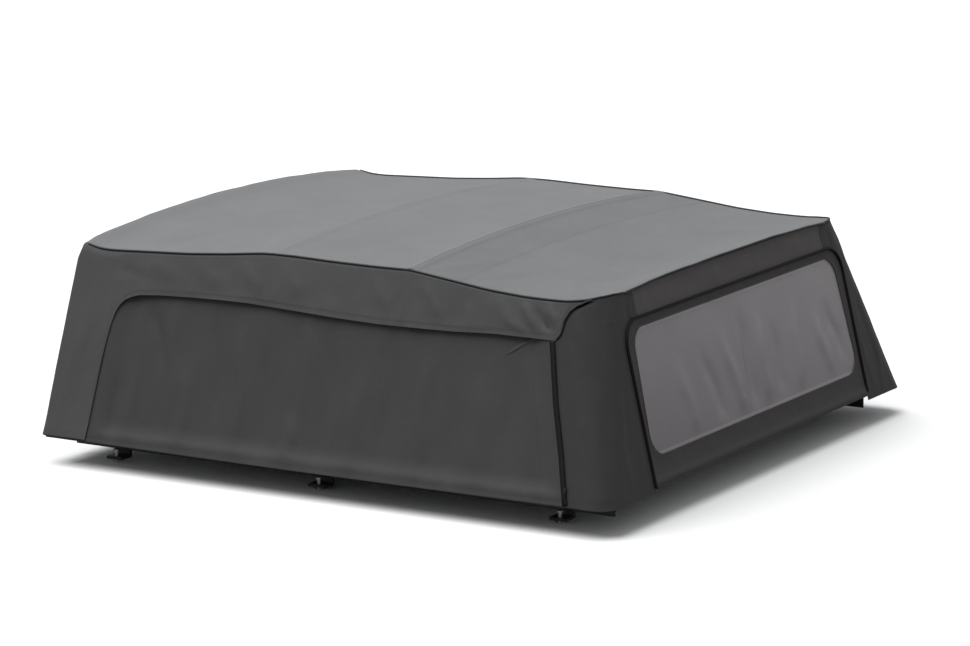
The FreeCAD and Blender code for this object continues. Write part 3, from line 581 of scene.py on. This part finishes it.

# Rear corner cloths: they go from the side zip round the corner to the zip of the rear window panel.
# Each is sewn to the roof above by the piping.

corner_canvas = canvas("corner_canvas", (0.031, 0.029, 0.029), 0.66, 0.05, 0.06)
CORNER_FOLDS = [
    # distance round the corner, height, distance, height, half width, height of the crease
    (-36, 300, -70, 30, 11, 1.8), (20, 410, 60, 300, 14, 2.0), (50, 200, 46, 20, 14, 1.2),
    (96, 420, 120, 330, 12, 2.2), (130, 300, 150, 60, 14, -1.6), (120, 120, 160, 20, 12, 2.0),
    (160, 420, 172, 372, 9, -2.0), (190, 180, 200, 20, 12, 1.6)]
heights = np.concatenate([np.linspace(3, 318, 60), np.linspace(322, 386, 22), np.linspace(388.5, 446, 16)])
for name, sign in (("right", 1), ("left", -1)):
    z_in = np.where(heights < 324, 549.5, 486 + np.sqrt(np.clip(62.5 ** 2 - (heights - 324) ** 2, 0,
                                                                None)) + 1.0)
    z_in = np.where(heights > 386.2, 473.0, z_in)
    r = corner_r(heights)
    y_side = line(ZIP, heights)
    s_zip = -(y_side - (rear_y(heights) + r)) + 1.5
    arch_h = np.array([354, 364, 378, 396, 417, 430, 437, 446])
    arch_s = np.array([-31, -20, -13, -6, 11, 30, 52, 84])
    s_from = np.where(heights < 352, s_zip, np.interp(heights, arch_h, arch_s) - 9.0)
    s_to = r * math.pi / 2 + side_x(heights) - r - z_in
    share = np.linspace(0, 1, 56)
    s = s_from[None] + (s_to - s_from)[None] * share[:, None]
    h = heights[None] + 0 * s
    top = line(CORNER_EDGE, s) + 8.0 * step(150, 260, s)
    h = h + (top - 3.5 - 446) * step(330, 446, h)
    h = h - 3.0 * np.exp(-((s - 55) / 45) ** 2) * step(40, 3, h)
    x, y, nx, ny = round_corner(h, s)
    wave = folds(s, h, CORNER_FOLDS) * step(0, 0.12, share)[:, None] * (1 - step(0.9, 1.0, share))[:, None]
    under = step(14, 6, s - s_from[None]) * step(346, 356, heights)[None]
    wave = wave * step(446, 425, h) - 2.0 * under + 0.7 * ripple(s, h, 3 + sign,
                                                                 140) * np.sin(math.pi * share)[:, None]
    grid = np.stack([sign * (x + wave * nx), y + wave * ny, h + 0 * x], -1)
    # The narrow dips are seam lines. The last step paints the cloth darker from the side zip to 20 mm round
    # the corner, fading out by 90 mm: painted shade on the side face and the start of the turn.
    tone = 1 - 0.2 * np.exp(-((h - 16) / 2.4) ** 2) - 0.25 * np.exp(-((s - s_to[None] + 9) / 2.2) ** 2)
    tone = tone - 0.18 * np.exp(-((s - s_from[None] - 10) / 2.2) ** 2) - 0.26 * step(90, 20, s)
    parts = [sheet_part(grid[::-1] if sign > 0 else grid, CANVAS_THICK, tone[::-1] if sign > 0 else tone, 0)]
    piece = sewn("rear_corner_cloth_" + name, parts, [corner_canvas])
    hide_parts("rear_corner_" + name)
    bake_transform(piece)

# Rear header cloth: the level strip between the roof's rear piping and the zip over the window panel.
# It is sewn to the corner cloths by short upright seams.

rear_canvas = canvas("rear_canvas", (0.041, 0.037, 0.036), 0.66, 0.05, 0.06)
u = np.linspace(-472, 472, 150)
v = np.linspace(0, 1, 14)
top = 446 + 10.0 * (1 - np.abs(u / 560) ** 3.2) - 3.5
h = 387.5 + (top - 387.5)[:, None] * v[None]
wave = 1.2 * ripple(u[:, None], h, 4, 210) * np.sin(math.pi * v)[None]
for x0, high in ((-440, 1.8), (-300, -1.4), (-90, 1.4), (150, -1.4), (330, 1.8), (450, -1.6)):
    off = (u[:, None] - x0 - 0.3 * (h - 400)) / 14
    wave = wave + high * np.exp(-off ** 2) * np.sin(math.pi * v)[None]
grid = np.stack([u[:, None] + 0 * h, rear_y(h) - np.maximum(wave, -1.0), h], -1)
# The 1.75 paints the header lighter than the rear panel of the same canvas, as painted light. The two dips
# are its seam lines.
tone = 1.75 - 0.25 * np.exp(-((h - 394) / 2.2) ** 2) - 0.2 * np.exp(-((top[:, None] - h - 8) / 2.4) ** 2)
header_cloth = sewn("rear_header_cloth", [sheet_part(grid, 1.3, tone, 0)], [rear_canvas])
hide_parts("rear_band")
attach(header_cloth, "rear_bow")

# Rear window panel: canvas frame, zip on both sides and over the top, bar sewn in the lower hem.
# It hangs from the header and swings up when the zip is open.

ARC_POINTS = 13


def round_outline(half_low, half_top, low, top, r_low, r_top, count):
    """Points round the outline, the same number on each run and corner, from the middle of the bottom."""
    points = []
    corners = [(half_low, low, r_low, -90), (half_top, top, r_top, 0)]
    corners += [(-half_top, top, r_top, 90), (-half_low, low, r_low, 180)]
    centres = []
    for k, (x, h, r, a) in enumerate(corners):
        centres.append((x - math.copysign(r, x), h + (r if k in (0, 3) else -r), r, a))
    for k, (x, h, r, a) in enumerate(centres):
        angle = np.radians(a + np.linspace(0, 90, ARC_POINTS))
        arc = np.stack([x + r * np.cos(angle), h + r * np.sin(angle)], 1)
        if points:
            a0, b0 = points[-1][-1], arc[0]
            run = np.linspace(0, 1, count[k])[1:-1, None]
            points.append(a0 + (b0 - a0) * run)
        points.append(arc)
    a0, b0 = points[-1][-1], points[0][0]
    points.append(a0 + (b0 - a0) * np.linspace(0, 1, count[0])[1:, None])
    return np.concatenate(points)


counts = [130, 44, 130, 44]
panel = round_outline(547.5, 547.0, 14, 385.5, 3, 61, counts)
opening = round_outline(526, 512, 78, 364, 50, 50, counts)
share = np.linspace(0, 1, 12)[None, :, None]
flat_ring = panel[:, None] + (opening - panel)[:, None] * share
x, h = flat_ring[..., 0], flat_ring[..., 1]
wave = 4.2 * np.exp(-((h - 24) / 10) ** 2) + 0.8 * ripple(x, h, 6, 170) * np.sin(math.pi * share[..., 0])
wave = wave + 1.2 * np.exp(-((share[..., 0] - 1) / 0.12) ** 2)
ring = np.stack([x, rear_y(h) - wave, h], -1)
tone = 1 - 0.25 * np.exp(-((h - 40) / 2.2) ** 2)
tone = tone - 0.22 * np.exp(-((share[..., 0] - 0.78) / 0.05) ** 2) * step(60, 80, h)
parts = [sheet_part(ring, CANVAS_THICK, tone, 0, True)]
zip_line = panel[ARC_POINTS:1 - counts[0]]
zip_track = np.stack([zip_line[:, 0] * 1.0015, rear_y(zip_line[:, 1]) - 2.2, zip_line[:, 1] + 0.8], -1)
parts.append(cord_part(zip_track, 4.2, 1, 8, 1.0, 0.8))
header_bar_h = 402.0
sleeve_r = 7.6
sleeve_y = rear_y(header_bar_h) + 3.2 + sleeve_r + 1.0
for x0, x1 in ((-476, -412), (-388, 388), (412, 476)):
    xs = np.linspace(x0, x1, 9)
    sleeve = np.stack([xs, np.full(9, sleeve_y), np.full(9, header_bar_h)], -1)
    parts.append(cord_part(sleeve, sleeve_r, 0, 14))
    tab_h = np.linspace(377, header_bar_h, 5)
    tab = np.stack(np.broadcast_arrays(xs[:, None], rear_y(tab_h)[None] + 2.6, tab_h[None]), -1)
    parts.append(sheet_part(tab, 1.0, None, 0))
curtain_cloth = sewn("rear_panel_cloth", parts, [rear_canvas, zip_teeth])
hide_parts("rear_curtain")
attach(curtain_cloth, "curtain")

# Windows: tinted clear vinyl welded into the rear panel and the front cloth.
# The rear one hangs in soft upright waves and has a paler welded edge. The front one lies flatter.

VINYL_THICK = 0.8


def vinyl(name, colour, alpha, rough):
    material = bpy.data.materials.new(name)
    material.use_nodes = True
    nodes, links = material.node_tree.nodes, material.node_tree.links
    skin = nodes["Principled BSDF"]
    skin.inputs["Alpha"].default_value = alpha
    skin.inputs["Specular IOR Level"].default_value = 0.5
    place = nodes.new("ShaderNodeTexCoord")
    haze = nodes.new("ShaderNodeTexNoise")
    haze.inputs["Scale"].default_value = 7.0
    haze.inputs["Detail"].default_value = 3.0
    tone = nodes.new("ShaderNodeAttribute")
    tone.attribute_name = "tone"
    links.new(place.outputs["Object"], haze.inputs["Vector"])
    spread = nodes.new("ShaderNodeMapRange")
    spread.inputs["To Min"].default_value = 0.9
    spread.inputs["To Max"].default_value = 1.1
    links.new(haze.outputs["Fac"], spread.inputs["Value"])
    both = nodes.new("ShaderNodeMath")
    both.operation = "MULTIPLY"
    links.new(spread.outputs["Result"], both.inputs[0])
    links.new(tone.outputs["Fac"], both.inputs[1])
    grey = nodes.new("ShaderNodeCombineColor")
    for channel in ("Red", "Green", "Blue"):
        links.new(both.outputs[0], grey.inputs[channel])
    tint = nodes.new("ShaderNodeMix")
    tint.data_type = "RGBA"
    tint.blend_type = "MULTIPLY"
    tint.inputs["Factor"].default_value = 1.0
    tint.inputs["A"].default_value = (*colour, 1)
    links.new(grey.outputs["Color"], tint.inputs["B"])
    links.new(tint.outputs["Result"], skin.inputs["Base Color"])
    wipe = nodes.new("ShaderNodeMapRange")
    wipe.inputs["To Min"].default_value = rough - 0.06
    wipe.inputs["To Max"].default_value = rough + 0.08
    links.new(haze.outputs["Fac"], wipe.inputs["Value"])
    links.new(wipe.outputs["Result"], skin.inputs["Roughness"])
    ripples = nodes.new("ShaderNodeBump")
    ripples.inputs["Strength"].default_value = 0.08
    ripples.inputs["Distance"].default_value = 0.002
    links.new(haze.outputs["Fac"], ripples.inputs["Height"])
    links.new(ripples.outputs["Normal"], skin.inputs["Normal"])
    return material


# The vinyl's pale grey is partly its own haze and partly painted reflection of the bright surroundings.
rear_vinyl = vinyl("rear_vinyl", (0.278, 0.255, 0.268), 0.86, 0.24)
WINDOW_FOLDS = [
    # x, height, x, height, half width, height of the wave
    (-330, 240, -300, 84, 22, 3.5), (-210, 250, -150, 84, 20, -4.0), (-110, 270, -60, 84, 20, 5.0),
    (0, 290, 0, 84, 21, -5.0), (70, 280, 60, 84, 22, 5.5), (150, 240, 140, 90, 20, -3.5),
    (260, 270, 230, 84, 24, 4.0), (360, 230, 400, 100, 20, 4.5), (430, 250, 480, 130, 18, -4.0)]
h_rows = np.concatenate([np.linspace(70, 100, 12), np.linspace(104, 340, 76), np.linspace(343, 372, 12)])
reach = np.interp(h_rows, [70, 372], [534, 520])
for low_h, up in ((70, 1), (372, -1)):
    rise = np.clip((h_rows - low_h) * up, 0, 42)
    reach = reach - (42 - np.sqrt(np.clip(42 ** 2 - (42 - rise) ** 2, 0, None)))
x = reach[None] * np.linspace(-1, 1, 230)[:, None]
h = h_rows[None] + 0 * x
inset = np.minimum(np.minimum(h - 78, 364 - h), reach[None] - 7 - np.abs(x))
wave = folds(x, h, WINDOW_FOLDS) * step(0, 50, inset)
pane = np.stack([x, rear_y(h) + 2.4 - 1.25 * wave, h], -1)
# Painted reflection: the sheet is painted lighter towards the top and towards the right. The paler ring
# along the welded edge is the weld's own colour.
tone = 0.96 + 0.16 * (h - 220) / 145 + 0.11 * x / 520 + 0.35 * step(9, 5, inset) * step(-3, 0, inset)
rear_pane = sewn("rear_window_sheet", [sheet_part(pane, VINYL_THICK, tone, 0)], [rear_vinyl])
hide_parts("rear_window")
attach(rear_pane, "curtain")

# Front cloth with its window: a flat panel across the cab end, laced to the front hoop.

FRONT_INSET = 3.0
front_out = round_outline(757, 612, 6, 424, 3, 3, counts)
top_row = front_out[:, 1] > 420
lift = 26 * (1 - (front_out[:, 0] / 612) ** 2)
front_out[:, 1] = np.where(top_row, front_out[:, 1] + lift, front_out[:, 1])
front_in = round_outline(468, 448, 92, 348, 40, 40, counts)
share = np.linspace(0, 1, 16)[None, :, None]
flat_ring = front_out[:, None] + (front_in - front_out)[:, None] * share
x, h = flat_ring[..., 0], flat_ring[..., 1]
wave = 1.0 * ripple(x, h, 9, 200) * np.sin(math.pi * share[..., 0])
ring = np.stack([x, front_y(h) - FRONT_INSET + np.clip(wave, -2, 1.2), h], -1)
tone = 1 - 0.25 * np.exp(-((share[..., 0] - 0.94) / 0.02) ** 2)
front_cloth = sewn("front_cloth", [sheet_part(ring[::-1], CANVAS_THICK, tone[::-1], 0, True)], [side_canvas])
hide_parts("front_curtain")
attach(front_cloth, "base")
inside = round_outline(476, 456, 84, 356, 44, 44, counts)
middle = np.stack([np.clip(inside[:, 0], -380, 380), 220 + 0 * inside[:, 0]], 1)
flat_win = inside[:, None] + (middle - inside)[:, None] * np.linspace(0, 1, 30)[None, :, None]
x, h = flat_win[..., 0], flat_win[..., 1]
wave = 1.2 * ripple(x, 0.3 * h, 3, 240) * step(0, 60, 476 - np.abs(x))
pane = np.stack([x, front_y(h) - FRONT_INSET - 2.0 + wave, h], -1)
front_pane = sewn("front_window_sheet", [sheet_part(pane[::-1], VINYL_THICK, None, 0, True)], [rear_vinyl])
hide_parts("front_window")
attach(front_pane, "base")

# Rails, clamps, hoops and fasteners keep their CAD shapes.
# Rails and hoops are powder coated, screws are zinc plated, seals are foam rubber.


def hard(name, colour, rough, metal, grain, bump):
    material = bpy.data.materials.new(name)
    material.use_nodes = True
    nodes, links = material.node_tree.nodes, material.node_tree.links
    skin = nodes["Principled BSDF"]
    skin.inputs["Metallic"].default_value = metal
    place = nodes.new("ShaderNodeTexCoord")
    noise = nodes.new("ShaderNodeTexNoise")
    noise.inputs["Scale"].default_value = grain
    noise.inputs["Detail"].default_value = 4.0
    links.new(place.outputs["Object"], noise.inputs["Vector"])
    ramp = nodes.new("ShaderNodeValToRGB")
    ramp.color_ramp.elements[0].position = 0.3
    ramp.color_ramp.elements[1].position = 0.7
    ramp.color_ramp.elements[0].color = (*[0.82 * c for c in colour], 1)
    ramp.color_ramp.elements[1].color = (*[1.15 * c for c in colour], 1)
    links.new(noise.outputs["Fac"], ramp.inputs["Fac"])
    links.new(ramp.outputs["Color"], skin.inputs["Base Color"])
    polish = nodes.new("ShaderNodeMapRange")
    polish.inputs["To Min"].default_value = rough - 0.08
    polish.inputs["To Max"].default_value = rough + 0.1
    links.new(noise.outputs["Fac"], polish.inputs["Value"])
    links.new(polish.outputs["Result"], skin.inputs["Roughness"])
    relief = nodes.new("ShaderNodeBump")
    relief.inputs["Strength"].default_value = 0.3
    relief.inputs["Distance"].default_value = bump
    links.new(noise.outputs["Fac"], relief.inputs["Height"])
    links.new(relief.outputs["Normal"], skin.inputs["Normal"])
    return material


powder_coat = hard("black_powder_coat", (0.020, 0.020, 0.021), 0.42, 0.0, 900, 0.0002)
zinc = hard("zinc_plate", (0.52, 0.53, 0.55), 0.32, 1.0, 300, 0.0001)
foam = hard("foam_rubber", (0.016, 0.016, 0.016), 0.85, 0.0, 1400, 0.0004)
for node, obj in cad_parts.items():
    if "seal" in node:
        finish = foam
    elif "screw" in node or "bolt" in node:
        finish = zinc
    else:
        finish = powder_coat
    if obj.material_slots:
        for place in obj.material_slots:
            place.material = finish
    else:
        obj.data.materials.append(finish)
